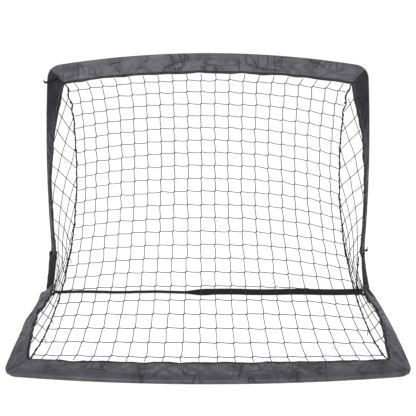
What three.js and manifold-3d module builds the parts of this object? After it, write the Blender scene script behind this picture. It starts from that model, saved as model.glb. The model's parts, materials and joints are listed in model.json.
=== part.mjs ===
// A folding practice goal: an arched front frame that hinges at two knees on a U-shaped ground frame.
// Both frames are slim rods inside wide fabric sleeves. A sloping back net and two side nets hang
// between the sleeves' hems and are laced together by a thicker cord along each seam.
// Millimetres, +Z up, +X to the right seen from behind the goal, and the mouth faces +Y.
// Everything is laid out with the knee line on y = 0, and the whole group then moves forward,
// so that the origin lies under the middle of the bounding box.

import * as THREE from "three";
import Module from "manifold-3d";
import { mergeVertices } from "three/addons/utils/BufferGeometryUtils.js";

// ---------- driving dimensions ----------

const ROD_R = 4.2; // fibreglass rod
const TUBE_BORE = 4.85; // bore radius of elbows, ferrules and sockets
const TUBE_R = 5.4; // outer radius of elbows, ferrules and sockets
const POCKET_BORE = 6.7; // rod pocket of a sleeve, inside
const POCKET_R = 8; // rod pocket of a sleeve, outside
const BAND = 63.5; // from the rod's centre to the sleeve's inner hem
const HEM_HALF = 1.6; // half thickness of the flat part of a sleeve
const GAP = 0.3; // between pieces that touch

const CROWN_Z = 885.5; // crossbar rod, at mid span
const ARCH = 43; // how much lower the crossbar rod is at ARCH_X
const ARCH_X = 540;
const CROSSBAR_TILT = 67; // degrees that the crossbar's band slopes below horizontal
const POST_WIDE = 581.5; // largest half width of the post rods above the knee flare
const POST_WIDE_Z = 300;
const POST_LEAN = 24; // how far the posts lean in over POST_LEAN_Z above the widest height
const POST_LEAN_Z = 500;
const FLARE = 30; // outward flare of the posts towards the knees
const FLARE_TOP_Z = 200;
const FLARE_REACH = 180;
const TOP_BEND = 41; // length of the top corner bend along each member

const BASE_Z = 7.4; // height of the ground frame's rods
const SIDE_WIDE = 618.5; // largest half width of the side rods
const SIDE_WIDE_Y = -300;
const SIDE_BOW = 9;
const KNEE_TUCK = 6; // how far the side rods turn in at the knees
const KNEE_TUCK_Y = 80;
const REAR_Y = -688.5; // rear bar rod, at mid span
const REAR_BOW = 43;
const REAR_BOW_X = 578;
const REAR_BEND = 40;

const KNEE_Z = 22; // hinge height
const SLEEVE_FOOT_Z = 160; // lower end of the post sleeves
const GUSSET_TOP_Z = 157;
const GUSSET_FOOT_Z = 14;
const SIDE_SLEEVE_Y = -32; // front end of the side sleeves
const CORNER_SEAM_Y = -400; // seam between side sleeve and rear corner sleeve

const BACK_SAG = 146; // sag of the back net from its chord, at mid span
const SEAM_SAG = 183; // sag of the two laced seams
const SEAM_NECK = 56; // how far the seams pull in at mid height
const NET_THICK = 2.5;
const SEAM_CORD_R = 2.5;

const STRAP_WIDE = 25; // goal line strap
const STRAP_THICK = 1.6;
const STRAP_Y = -44;
const STRAP_Z = 13;
const KNEE_STRAP_WIDE = 20;
const KNEE_STRAP_X = 575; // where the goal line strap meets the knee straps

const ROUND_SIDES = 8;

// ---------- small maths ----------

const X_AXIS = new THREE.Vector3(1, 0, 0);
const Y_AXIS = new THREE.Vector3(0, 1, 0);
const Z_AXIS = new THREE.Vector3(0, 0, 1);

const point = (x, y, z) => new THREE.Vector3(x, y, z);
const radians = THREE.MathUtils.degToRad;
const lerp = THREE.MathUtils.lerp;
const clamp = THREE.MathUtils.clamp;

// `count` + 1 even values from `from` to `to`.
function steps(from, to, count) {
  return Array.from({ length: count + 1 }, (_, i) => lerp(from, to, i / count));
}

// ---------- the frame's centre lines ----------

const archZ = (x) => CROWN_Z - ARCH * (x / ARCH_X) ** 2;

function postX(z) {
  const lean = POST_LEAN * ((z - POST_WIDE_Z) / POST_LEAN_Z) ** 2;
  const flare = FLARE * Math.max(0, (FLARE_TOP_Z - z) / FLARE_REACH) ** 1.5;
  return POST_WIDE - lean + flare;
}

function sideX(y) {
  const bow = SIDE_BOW * ((y - SIDE_WIDE_Y) / SIDE_WIDE_Y) ** 2;
  const tuck = KNEE_TUCK * Math.max(0, (y + KNEE_TUCK_Y) / KNEE_TUCK_Y) ** 2;
  return SIDE_WIDE - bow - tuck;
}

const rearY = (x) => REAR_Y + REAR_BOW * (x / REAR_BOW_X) ** 2;

const crossbarPoint = (x) => point(x, 0, archZ(x));
const postPoint = (z) => point(postX(z), 0, z);
const sidePoint = (y) => point(sideX(y), y, BASE_Z);
const rearPoint = (x) => point(x, rearY(x), BASE_Z);

// The outer corner where two members would meet if they weren't bent, and the bend between them.
const TOP_CORNER_X = 555.5;
const TOP_CORNER = point(TOP_CORNER_X, 0, archZ(TOP_CORNER_X));
const TOP_BEND_X = TOP_CORNER.x - TOP_BEND;
const TOP_BEND_Z = TOP_CORNER.z - TOP_BEND;
const topBend = new THREE.QuadraticBezierCurve3(
  crossbarPoint(TOP_BEND_X),
  TOP_CORNER,
  postPoint(TOP_BEND_Z),
);

const REAR_CORNER_X = 608.5;
const REAR_CORNER = point(REAR_CORNER_X, rearY(REAR_CORNER_X), BASE_Z);
const REAR_BEND_X = REAR_CORNER.x - REAR_BEND;
const REAR_BEND_Y = REAR_CORNER.y + REAR_BEND;
const rearBend = new THREE.QuadraticBezierCurve3(
  sidePoint(REAR_BEND_Y),
  REAR_CORNER,
  rearPoint(REAR_BEND_X),
);

// ---------- the sleeves' inner hems ----------

// The post's band points backwards and turns inwards towards the top corner.
const POST_BAND_LOW = 15;
const POST_BAND_TWIST = 52;
const POST_TWIST_Z = 330;
const POST_TWIST_REACH = 460;

function postHem(z) {
  const rise = clamp((z - POST_TWIST_Z) / POST_TWIST_REACH, 0, 1);
  const turn = radians(POST_BAND_LOW + POST_BAND_TWIST * rise ** 2.5);
  return postPoint(z).add(point(-BAND * Math.sin(turn), -BAND * Math.cos(turn), 0));
}

function crossbarHem(x) {
  const tilt = radians(CROSSBAR_TILT);
  return crossbarPoint(x).add(point(0, -BAND * Math.cos(tilt), -BAND * Math.sin(tilt)));
}

// The side band stands steeply over the ground and lies flatter towards the rear corner.
const SIDE_BAND_LOW = 16;
const SIDE_BAND_RISE = 38;
const SIDE_BAND_SETTLE = 8;
const SIDE_SETTLE_Y = -70;
const SIDE_SETTLE_REACH = 100;
const SIDE_FLATTEN_Y = -350;
const SIDE_FLATTEN_REACH = 240;

function sideHem(y) {
  const fall = clamp((SIDE_FLATTEN_Y - y) / SIDE_FLATTEN_REACH, 0, 1);
  const settled = SIDE_BAND_SETTLE * clamp((SIDE_SETTLE_Y - y) / SIDE_SETTLE_REACH, 0, 1);
  const rise = radians(SIDE_BAND_LOW + (SIDE_BAND_RISE - settled) * (1 - fall ** 1.5));
  return sidePoint(y).add(point(-BAND * Math.cos(rise), 0, BAND * Math.sin(rise)));
}

const REAR_BAND_MID = 27;
const REAR_BAND_DROP = 11;
const REAR_HEM_X = 549.5;

function rearHem(x) {
  const rise = radians(REAR_BAND_MID - REAR_BAND_DROP * (x / REAR_HEM_X) ** 2);
  return rearPoint(x).add(point(0, BAND * Math.cos(rise), BAND * Math.sin(rise)));
}

const TOP_HEM_X = 500.5;
const TOP_HEM = crossbarHem(TOP_HEM_X);
const REAR_HEM = rearHem(REAR_HEM_X);

// ---------- closed lofts ----------

// Triangles of one end cap, from its flat outline and an optional hole, facing the +path direction.
function capFaces(outline, hole) {
  const flat = [...outline, ...hole];
  return THREE.ShapeUtils.triangulateShape(outline, hole.length ? [hole] : []).map(([a, b, c]) => {
    const ab = flat[b].clone().sub(flat[a]);
    const ac = flat[c].clone().sub(flat[a]);
    return ab.cross(ac) > 0 ? [a, b, c] : [a, c, b];
  });
}

// A closed surface through rings of points. Each ring is {outline, hole, place}: flat points that run
// anticlockwise about the path, and the function that puts one in space.
function loft(rings) {
  const positions = [];
  const faces = [];
  const outer = rings[0].outline.length;
  const inner = rings[0].hole.length;
  const size = outer + inner;
  for (const ring of rings) {
    for (const flat of [...ring.outline, ...ring.hole]) positions.push(...ring.place(flat));
  }
  for (let r = 0; r + 1 < rings.length; r += 1) {
    const near = r * size;
    const far = near + size;
    for (let i = 0; i < outer; i += 1) {
      const j = (i + 1) % outer;
      faces.push(near + i, near + j, far + i, near + j, far + j, far + i);
    }
    for (let i = 0; i < inner; i += 1) {
      const j = outer + ((i + 1) % inner);
      const k = outer + i;
      faces.push(near + k, far + k, near + j, near + j, far + k, far + j);
    }
  }
  const first = rings[0];
  for (const [a, b, c] of capFaces(first.outline, first.hole)) faces.push(a, c, b);
  const last = rings[rings.length - 1];
  const end = (rings.length - 1) * size;
  for (const [a, b, c] of capFaces(last.outline, last.hole)) faces.push(end + a, end + b, end + c);
  const geometry = new THREE.BufferGeometry();
  geometry.setAttribute("position", new THREE.Float32BufferAttribute(positions, 3));
  geometry.setIndex(faces);
  return geometry;
}

function circle(radius, sides = ROUND_SIDES) {
  const corner = (i) => (2 * Math.PI * (i + 0.5)) / sides;
  return Array.from({ length: sides }, (_, i) =>
    new THREE.Vector2(Math.cos(corner(i)), Math.sin(corner(i))).multiplyScalar(radius),
  );
}

function rectangle(width, height) {
  const [w, h] = [width / 2, height / 2];
  return [[-w, -h], [w, -h], [w, h], [-w, h]].map(([x, y]) => new THREE.Vector2(x, y));
}

// Puts flat (a, b) at centre + a * along + b * across, no lower than the ground.
function placer(centre, along, across) {
  return ({ x, y }) => {
    const p = centre.clone().addScaledVector(along, x).addScaledVector(across, y);
    return [p.x, p.y, Math.max(p.z, 0)];
  };
}

function tangents(points) {
  return points.map((_, i) => {
    const before = points[Math.max(i - 1, 0)];
    const after = points[Math.min(i + 1, points.length - 1)];
    return after.clone().sub(before).normalize();
  });
}

// A round bar, or a tube where it has a bore, along points that lie in the plane square to `normal`.
function bar(points, radius, bore, normal) {
  const ways = tangents(points);
  return loft(points.map((centre, i) => ({
    outline: circle(radius),
    hole: bore ? circle(bore) : [],
    place: placer(centre, normal, ways[i].clone().cross(normal).normalize()),
  })));
}

// A flat strap along points. `wide(i)` is the direction of its width at each point.
function strap(points, width, thick, wide) {
  const ways = tangents(points);
  return loft(points.map((centre, i) => {
    const across = wide(i).clone();
    across.addScaledVector(ways[i], -across.dot(ways[i])).normalize();
    return {
      outline: rectangle(width, thick),
      hole: [],
      place: placer(centre, across, ways[i].clone().cross(across)),
    };
  }));
}

// ---------- sleeves ----------

const FRONT_FACETS = 8; // around a rod pocket
const GROUND_FACETS = 16; // finer, so that the pocket gets a flat sole where it lies on the ground

// A sleeve's section: a round rod pocket that runs out into a flat doubled band of the given length.
function sleeveOutline(length, pocket, facets) {
  const arc = steps(55, 305, facets).map((turn) =>
    new THREE.Vector2(Math.cos(radians(turn)), Math.sin(radians(turn))).multiplyScalar(pocket),
  );
  const neck = Math.min(2.4 * pocket, 0.7 * length);
  const corner = (x, y) => new THREE.Vector2(x, y);
  return [
    corner(neck, HEM_HALF),
    ...arc,
    corner(neck, -HEM_HALF),
    corner(length, -HEM_HALF),
    corner(length, HEM_HALF),
  ];
}

// stations are [rod centre, hem] pairs. `normal` is the frame's own normal, which the band's
// thickness follows, so that the rings at a mitred corner lie in the mitre.
function sleeve(stations, normal, facets, radius = POCKET_R, bore = POCKET_BORE) {
  const ways = tangents(stations.map(([centre]) => centre));
  return loft(stations.map(([centre, hem], i) => {
    const along = hem.clone().sub(centre);
    const length = along.length();
    along.normalize();
    const across = normal.clone().addScaledVector(along, -normal.dot(along)).normalize();
    if (ways[i].clone().cross(along).dot(across) < 0) across.negate();
    return {
      outline: sleeveOutline(length, radius, facets),
      hole: circle(bore),
      place: placer(centre, along, across),
    };
  }));
}

// The stations of half a corner bend, from its mitre to where the member runs straight.
// The rod side follows the bend while the hem side creeps along from the inner corner.
const MITRE_GAP = 0.004;
const CREEP = 1.5;

function mitreStations(bend, from, to, hemAt) {
  return steps(from, to, 2).map((t, i) => [bend.getPoint(t), hemAt(i * CREEP + GAP)]);
}

const crossbarMitre = mitreStations(topBend, 0.5 - MITRE_GAP, 0, (d) => crossbarHem(TOP_HEM_X - d));
const postMitre = mitreStations(topBend, 0.5 + MITRE_GAP, 1, (d) => postHem(TOP_HEM.z - d));
const sideMitre = mitreStations(rearBend, 0.5 - MITRE_GAP, 0, (d) => sideHem(REAR_HEM.y + d));
const rearMitre = mitreStations(rearBend, 0.5 + MITRE_GAP, 1, (d) => rearHem(REAR_HEM_X - d));

const flipX = (p) => point(-p.x, p.y, p.z);
const flipStation = ([centre, hem]) => [flipX(centre), flipX(hem)];

// Straight stretch: the rod's own positions with the hem's run squeezed to stop at the inner corner.
function stretch(rodAt, hemAt, rodFrom, rodTo, hemFrom, hemTo, count) {
  return steps(0, 1, count).map((t) => [
    rodAt(lerp(rodFrom, rodTo, t)),
    hemAt(lerp(hemFrom, hemTo, t)),
  ]);
}

const HEM_START = 2 * CREEP + GAP + 3;
const BEND_CLEAR = 6;

function crossbarSleeve() {
  const rodEnd = TOP_BEND_X - BEND_CLEAR;
  const hemEnd = TOP_HEM_X - HEM_START;
  return sleeve([
    ...crossbarMitre.map(flipStation),
    ...stretch(crossbarPoint, crossbarHem, -rodEnd, rodEnd, -hemEnd, hemEnd, 14),
    ...crossbarMitre.toReversed(),
  ], Y_AXIS, FRONT_FACETS);
}

function postSleeve() {
  return sleeve([
    ...postMitre,
    ...stretch(postPoint, postHem, TOP_BEND_Z - BEND_CLEAR, SLEEVE_FOOT_Z,
      TOP_HEM.z - HEM_START, SLEEVE_FOOT_Z, 10),
  ], Y_AXIS, FRONT_FACETS);
}

function sideSleeve() {
  return sleeve(stretch(sidePoint, sideHem, SIDE_SLEEVE_Y, CORNER_SEAM_Y + GAP / 2,
    SIDE_SLEEVE_Y, CORNER_SEAM_Y + GAP / 2, 6), Z_AXIS, GROUND_FACETS);
}

function rearCornerSleeve() {
  return sleeve([
    ...stretch(sidePoint, sideHem, CORNER_SEAM_Y - GAP / 2, REAR_BEND_Y + BEND_CLEAR,
      CORNER_SEAM_Y - GAP / 2, REAR_HEM.y + HEM_START, 5),
    ...sideMitre.toReversed(),
  ], Z_AXIS, GROUND_FACETS);
}

function rearBarSleeve() {
  const rodEnd = REAR_BEND_X - BEND_CLEAR;
  const hemEnd = REAR_HEM_X - HEM_START;
  return sleeve([
    ...rearMitre.map(flipStation),
    ...stretch(rearPoint, rearHem, -rodEnd, rodEnd, -hemEnd, hemEnd, 14),
    ...rearMitre.toReversed(),
  ], Z_AXIS, GROUND_FACETS);
}

// The black cover of the knee: a wide pocket over the hinge, with a band that tapers downwards.
const GUSSET_R = 12.8;
const GUSSET_BORE = 11.5;
const GUSSET_BAND_TOP = 44;
const GUSSET_BAND_FOOT = 26;

function kneeGusset() {
  const turn = radians(POST_BAND_LOW);
  const stations = steps(GUSSET_TOP_Z, GUSSET_FOOT_Z, 5).map((z) => {
    const down = (GUSSET_TOP_Z - z) / (GUSSET_TOP_Z - GUSSET_FOOT_Z);
    const reach = lerp(GUSSET_BAND_TOP, GUSSET_BAND_FOOT, down);
    const centre = postPoint(z);
    return [centre, centre.clone().add(point(-reach * Math.sin(turn), -reach * Math.cos(turn), 0))];
  });
  return sleeve(stations, Y_AXIS, FRONT_FACETS, GUSSET_R, GUSSET_BORE);
}

// ---------- rods, elbows and ferrules ----------

const INSERT = 30; // length of a tube's grip on a rod
const ROD_STOP = 8; // from a rod's end to the start of the bend
const FERRULE_HALF = 40;

function topElbow() {
  return bar([
    crossbarPoint(TOP_BEND_X - INSERT),
    crossbarPoint(TOP_BEND_X - ROD_STOP / 2),
    ...topBend.getPoints(4).slice(1, -1),
    postPoint(TOP_BEND_Z - ROD_STOP / 2),
    postPoint(TOP_BEND_Z - INSERT),
  ], TUBE_R, TUBE_BORE, Y_AXIS);
}

function rearElbow() {
  return bar([
    sidePoint(REAR_BEND_Y + INSERT),
    sidePoint(REAR_BEND_Y + ROD_STOP / 2),
    ...rearBend.getPoints(4).slice(1, -1),
    rearPoint(REAR_BEND_X - ROD_STOP / 2),
    rearPoint(REAR_BEND_X - INSERT),
  ], TUBE_R, TUBE_BORE, Z_AXIS);
}

const crossbarRod = () =>
  bar(steps(GAP, TOP_BEND_X - ROD_STOP, 6).map(crossbarPoint), ROD_R, 0, Y_AXIS);
const crossbarFerrule = () =>
  bar(steps(-FERRULE_HALF, FERRULE_HALF, 2).map(crossbarPoint), TUBE_R, TUBE_BORE, Y_AXIS);
const rearBarRod = () =>
  bar(steps(GAP, REAR_BEND_X - ROD_STOP, 6).map(rearPoint), ROD_R, 0, Z_AXIS);
const rearBarFerrule = () =>
  bar(steps(-FERRULE_HALF, FERRULE_HALF, 2).map(rearPoint), TUBE_R, TUBE_BORE, Z_AXIS);

// ---------- knee hinge ----------

const TONGUE_THICK = 4;
const CHEEK_THICK = 3;
const CHEEK_GAP = 0.4;
const EYE_R = 5.5;
const PIN_R = 2.3;
const PIN_BORE = 2.6;
const PIN_HALF = 7.2;
const PIN_HEAD_R = 4;
const PIN_HEAD_THICK = 1.2;
const CHEEK_DEEP = 11;
const CHEEK_DROP = 9; // cheeks below the pin
const BRIDGE_LOW = 11; // bridge between the cheeks, above the pin
const BRIDGE_HIGH = 17;
const SOCKET_LONG = 40;
const LEG_LOW_Z = 2.5; // the tongue's foot, which runs back into its socket
const LEG_HIGH_Z = 10.5;
const LEG_BACK_Y = -28;
const LOWER_SOCKET_Y = -22;

const wasm = await Module();
wasm.setup();

// A closed mesh as a manifold-3d solid, and back.
function solid(geometry) {
  const bare = geometry.clone();
  bare.deleteAttribute("normal");
  bare.deleteAttribute("uv");
  const merged = mergeVertices(bare);
  return new wasm.Manifold(new wasm.Mesh({
    numProp: 3,
    vertProperties: merged.attributes.position.array,
    triVerts: new Uint32Array(merged.index.array),
  }));
}

function meshed(manifold) {
  const { vertProperties, triVerts } = manifold.getMesh();
  const geometry = new THREE.BufferGeometry();
  geometry.setAttribute("position", new THREE.BufferAttribute(new Float32Array(vertProperties), 3));
  geometry.setIndex(Array.from(triVerts));
  return geometry;
}

const box = (dx, dy, dz, x, y, z) => solid(new THREE.BoxGeometry(dx, dy, dz).translate(x, y, z));

function crossPin(radius, halfLength, x) {
  return new THREE.CylinderGeometry(radius, radius, 2 * halfLength, 12)
    .rotateZ(Math.PI / 2)
    .translate(x, 0, KNEE_Z);
}

const KNEE_X = postX(KNEE_Z);

// Tongue: an upright leg with the eye, and a foot that runs back into the side rod's socket.
function kneeLowerSocket() {
  const eye = solid(crossPin(EYE_R, TONGUE_THICK / 2, KNEE_X));
  const leg = box(TONGUE_THICK, 2 * EYE_R, KNEE_Z - LEG_LOW_Z, KNEE_X, 0, (KNEE_Z + LEG_LOW_Z) / 2);
  const footLong = EYE_R - LEG_BACK_Y;
  const foot = box(TONGUE_THICK, footLong, LEG_HIGH_Z - LEG_LOW_Z, KNEE_X,
    EYE_R - footLong / 2, (LEG_HIGH_Z + LEG_LOW_Z) / 2);
  const span = steps(LOWER_SOCKET_Y, LOWER_SOCKET_Y - SOCKET_LONG, 3).map(sidePoint);
  const socket = solid(bar(span, TUBE_R, 0, Z_AXIS));
  const boreSpan = steps(LEG_BACK_Y - 2, LOWER_SOCKET_Y - SOCKET_LONG - 5, 3).map(sidePoint);
  const bore = solid(bar(boreSpan, TUBE_BORE, 0, Z_AXIS));
  const hole = solid(crossPin(PIN_BORE, TONGUE_THICK, KNEE_X));
  return meshed(eye.add(leg).add(foot).add(socket).subtract(bore).subtract(hole));
}

// Fork: two cheeks beside the tongue, a bridge over it, and the post rod's socket.
function kneeUpperSocket() {
  const cheekOut = TONGUE_THICK / 2 + CHEEK_GAP + CHEEK_THICK / 2;
  const cheekHigh = CHEEK_DROP + BRIDGE_HIGH;
  const cheekMid = KNEE_Z + (BRIDGE_HIGH - CHEEK_DROP) / 2;
  const bridgeWide = 2 * cheekOut + CHEEK_THICK;
  const bridge = box(bridgeWide, CHEEK_DEEP, BRIDGE_HIGH - BRIDGE_LOW, KNEE_X, 0,
    KNEE_Z + (BRIDGE_HIGH + BRIDGE_LOW) / 2);
  const socketLow = KNEE_Z + BRIDGE_HIGH - 2;
  const span = steps(socketLow, socketLow + SOCKET_LONG, 3).map(postPoint);
  const boreSpan = steps(socketLow + 4, socketLow + SOCKET_LONG + 5, 3).map(postPoint);
  let fork = bridge.add(solid(bar(span, TUBE_R, 0, Y_AXIS)));
  for (const side of [-1, 1]) {
    const x = KNEE_X + side * cheekOut;
    fork = fork.add(box(CHEEK_THICK, CHEEK_DEEP, cheekHigh, x, 0, cheekMid));
  }
  fork = fork.subtract(solid(bar(boreSpan, TUBE_BORE, 0, Y_AXIS)));
  return meshed(fork.subtract(solid(crossPin(PIN_BORE, PIN_HALF + 2, KNEE_X))));
}

function kneePin() {
  const shank = solid(crossPin(PIN_R, PIN_HALF, KNEE_X));
  const heads = [-1, 1].map((side) => {
    const x = KNEE_X + side * (PIN_HALF + PIN_HEAD_THICK / 2);
    return solid(crossPin(PIN_HEAD_R, PIN_HEAD_THICK / 2, x));
  });
  return meshed(shank.add(heads[0]).add(heads[1]));
}

const UPPER_SOCKET_TOP = KNEE_Z + BRIDGE_HIGH - 2 + SOCKET_LONG;
const POST_ROD_FOOT = KNEE_Z + BRIDGE_HIGH + 2 + GAP;
const SIDE_ROD_FRONT = LEG_BACK_Y - 2 - GAP;

function postRod() {
  const heights = [
    ...steps(POST_ROD_FOOT, UPPER_SOCKET_TOP, 3),
    ...steps(130, TOP_BEND_Z - ROD_STOP, 6),
  ];
  return bar(heights.map(postPoint), ROD_R, 0, Y_AXIS);
}

function sideRod() {
  const depths = [
    ...steps(SIDE_ROD_FRONT, LOWER_SOCKET_Y - SOCKET_LONG, 2),
    ...steps(-110, REAR_BEND_Y + ROD_STOP, 5),
  ];
  return bar(depths.map(sidePoint), ROD_R, 0, Z_AXIS);
}

// ---------- nets and seams ----------

// A point on a line from `from` to `to` that sags towards the knees by `sag`, in the plane square to X.
function sagged(from, to, t, sag) {
  const chord = point(0, to.y - from.y, to.z - from.z).normalize();
  const inwards = point(0, -chord.z, chord.y);
  return from.clone().lerp(to, t).addScaledVector(inwards, sag * 4 * t * (1 - t));
}

// The right-hand seam, from the crossbar (t = 0) to the rear bar (t = 1).
function seamPoint(t) {
  const p = sagged(TOP_HEM, REAR_HEM, t, SEAM_SAG);
  p.x -= SEAM_NECK * 4 * t * (1 - t);
  return p;
}

// The back net, from the left seam (s = -1) to the right seam (s = 1).
function backPoint(s, t) {
  const middle = sagged(crossbarHem(0), rearHem(0), t, BACK_SAG);
  const edge = seamPoint(t);
  return point(s * edge.x, lerp(middle.y, edge.y, s * s), lerp(middle.z, edge.z, s * s));
}

// A curved slab of even thickness on the surface at(u, v), cut into the same triangles on both faces.
function slab(at, us, vs, thick) {
  const small = 0.001;
  const wide = us.length;
  const deep = vs.length;
  const lifted = (u, v, lift) => {
    const along = at(u + small, v).sub(at(u - small, v));
    const across = at(u, v + small).sub(at(u, v - small));
    return at(u, v).addScaledVector(along.cross(across).normalize(), lift);
  };
  const positions = [thick / 2, -thick / 2].flatMap((lift) =>
    vs.flatMap((v) => us.flatMap((u) => lifted(u, v, lift).toArray())),
  );
  const upper = ([r, i]) => r * wide + i;
  const lower = ([r, i]) => (deep + r) * wide + i;
  const faces = [];
  for (let r = 0; r + 1 < deep; r += 1) {
    for (let i = 0; i + 1 < wide; i += 1) {
      const [a, b, c, d] = [[r, i], [r, i + 1], [r + 1, i], [r + 1, i + 1]];
      faces.push(...[a, b, c, b, d, c].map(upper), ...[a, c, b, b, c, d].map(lower));
    }
  }
  const rim = [
    ...us.slice(1).map((_, i) => [0, i]),
    ...vs.slice(1).map((_, r) => [r, wide - 1]),
    ...us.slice(1).map((_, i) => [deep - 1, wide - 1 - i]),
    ...vs.slice(1).map((_, r) => [deep - 1 - r, 0]),
  ];
  rim.forEach((p, i) => {
    const q = rim[(i + 1) % rim.length];
    faces.push(lower(p), lower(q), upper(p), lower(q), upper(q), upper(p));
  });
  const geometry = new THREE.BufferGeometry();
  geometry.setAttribute("position", new THREE.Float32BufferAttribute(positions, 3));
  geometry.setIndex(faces);
  return geometry;
}

const HEM_CLEAR = 0.0035; // share of the back net's height kept free along each hem
const SEAM_CLEAR = 0.013; // share of its half width kept free along each seam

function netBack() {
  const us = steps(-1 + SEAM_CLEAR, 1 - SEAM_CLEAR, 14);
  const vs = steps(HEM_CLEAR, 1 - HEM_CLEAR, 14);
  return slab(backPoint, us, vs, NET_THICK);
}

// The side net's outer edge: down the post's hem, past the knee and back along the side hem.
const outerEdge = new THREE.CatmullRomCurve3([
  ...[745, 640, 540, 440, 340, 250, 175].map(postHem),
  point(557, -70, 125),
  point(562, -90, 82),
  ...[-130, -200, -290, -380, -460, -540].map(sideHem),
]);

const SIDE_NET_END = 0.045; // share of the seam left out at each end, where the net narrows to nothing
const SIDE_EDGE_CLEAR = 4.5; // kept free along the seam cord and along the hems

function sidePanelPoint(u, v) {
  const seam = seamPoint(v);
  const t = clamp((v - SIDE_NET_END) / (1 - 2 * SIDE_NET_END), 0, 1);
  const edge = outerEdge.getPointAt(t);
  const clear = SIDE_EDGE_CLEAR / seam.distanceTo(edge);
  return seam.lerp(edge, lerp(clear, 1 - clear, u));
}

function netSide() {
  const us = steps(0, 1, 3);
  const vs = steps(SIDE_NET_END + 0.012, 1 - SIDE_NET_END - 0.012, 14);
  return slab(sidePanelPoint, us, vs, NET_THICK);
}

function seamCord() {
  const points = steps(0.012, 0.988, 24).map(seamPoint);
  const ways = tangents(points);
  return loft(points.map((centre, i) => {
    const along = X_AXIS.clone().addScaledVector(ways[i], -ways[i].x).normalize();
    return {
      outline: circle(SEAM_CORD_R, 6),
      hole: [],
      place: placer(centre, along, ways[i].clone().cross(along)),
    };
  }));
}

// ---------- straps and ties ----------

const TWIST_FROM_X = -90;
const TWIST_TO_X = 25;

// The goal line strap lies flat on its left half, turns over once and stands upright on its right half.
function goalLineStrap() {
  const end = KNEE_STRAP_X - 1 - STRAP_THICK;
  const xs = [-end, ...steps(TWIST_FROM_X, TWIST_TO_X, 6), end];
  const points = xs.map((x) => point(x, STRAP_Y, STRAP_Z));
  const turned = (x) => clamp((x - TWIST_FROM_X) / (TWIST_TO_X - TWIST_FROM_X), 0, 1);
  const turns = xs.map((x) => (Math.PI / 2) * turned(x));
  const wide = (i) => point(0, Math.cos(turns[i]), Math.sin(turns[i]));
  return strap(points, STRAP_WIDE, STRAP_THICK, wide);
}

// The knee strap carries the post's hem down to the goal line strap and under the side sleeve.
function kneeStrap() {
  const route = new THREE.CatmullRomCurve3([
    point(558, -52, 157),
    point(562.5, -50, 105),
    point(568, -47, 60),
    point(KNEE_STRAP_X - 1, STRAP_Y, 32),
    point(KNEE_STRAP_X, STRAP_Y, 20),
    point(KNEE_STRAP_X + 1, STRAP_Y, 9),
    point(KNEE_STRAP_X + 9, STRAP_Y, 3),
    point(597, STRAP_Y, 3),
  ]);
  return strap(route.getPoints(14), KNEE_STRAP_WIDE, STRAP_THICK, () => Y_AXIS);
}

// A short tie across the back of the left post sleeve, with its end standing past the outer edge.
const TIE_WIDE = 8;
const TIE_BELOW_BEND = 14;

function cornerTie() {
  const z = TOP_BEND_Z - TIE_BELOW_BEND;
  const centre = postPoint(z);
  const along = postHem(z).sub(centre).normalize();
  const across = along.clone().cross(Z_AXIS).normalize();
  if (across.y > 0) across.negate();
  const route = [[-19, 4, -3], [-12, 7.5, -2], [-4, 10.6, -1], [6, 9.6, 1], [19, 5.2, 4], [36, 4, 8]];
  const points = route.map(([a, b, lift]) =>
    centre.clone().addScaledVector(along, a).addScaledVector(across, b).setZ(z + lift),
  );
  return strap(points, TIE_WIDE, STRAP_THICK, () => Z_AXIS);
}

// The knot that stops the drawcord at the foot of the right post sleeve.
const KNOT_R = 5.5;

function sleeveKnot() {
  const z = SLEEVE_FOOT_Z + 4;
  return new THREE.SphereGeometry(KNOT_R, 10, 8).translate(postX(z) + POCKET_R + KNOT_R + GAP, 0, z);
}

// ---------- materials ----------

const finish = (color, roughness, metalness = 0) =>
  new THREE.MeshStandardMaterial({ color, roughness, metalness });

const sleeveFabric = finish(0x55555f, 0.7);
const webbing = finish(0x1d1d20, 0.85);
const netTwine = finish(0x232325, 0.9);
const fibreglass = finish(0x17171a, 0.45);
const steel = finish(0xa9adb2, 0.35, 1);

// ---------- assembly ----------

const goal = new THREE.Group();

function add(name, geometry, material) {
  const mesh = new THREE.Mesh(geometry, material);
  mesh.name = name;
  goal.add(mesh);
}

// The mirror image of a geometry in the plane x = 0, with its faces turned back outwards.
function mirrored(geometry) {
  const copy = geometry.clone();
  copy.deleteAttribute("normal");
  copy.deleteAttribute("uv");
  const { position } = copy.attributes;
  for (let i = 0; i < position.count; i += 1) position.setX(i, -position.getX(i));
  const index = copy.index.array;
  for (let i = 0; i < index.length; i += 3) [index[i], index[i + 1]] = [index[i + 1], index[i]];
  return copy;
}

// Adds the piece on the right and its mirror image on the left.
function addPair(name, geometry, material) {
  add(name + "_right", geometry, material);
  add(name + "_left", mirrored(geometry), material.clone());
}

addPair("crossbar_rod", crossbarRod(), fibreglass);
add("crossbar_ferrule", crossbarFerrule(), steel);
addPair("top_elbow", topElbow(), steel);
addPair("post_rod", postRod(), fibreglass);
addPair("knee_upper_socket", kneeUpperSocket(), steel);
add("crossbar_sleeve", crossbarSleeve(), sleeveFabric);
addPair("post_sleeve", postSleeve(), sleeveFabric);
addPair("knee_gusset", kneeGusset(), webbing);
add("corner_tie_left", mirrored(cornerTie()), webbing);
add("sleeve_knot_right", sleeveKnot(), webbing);

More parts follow.
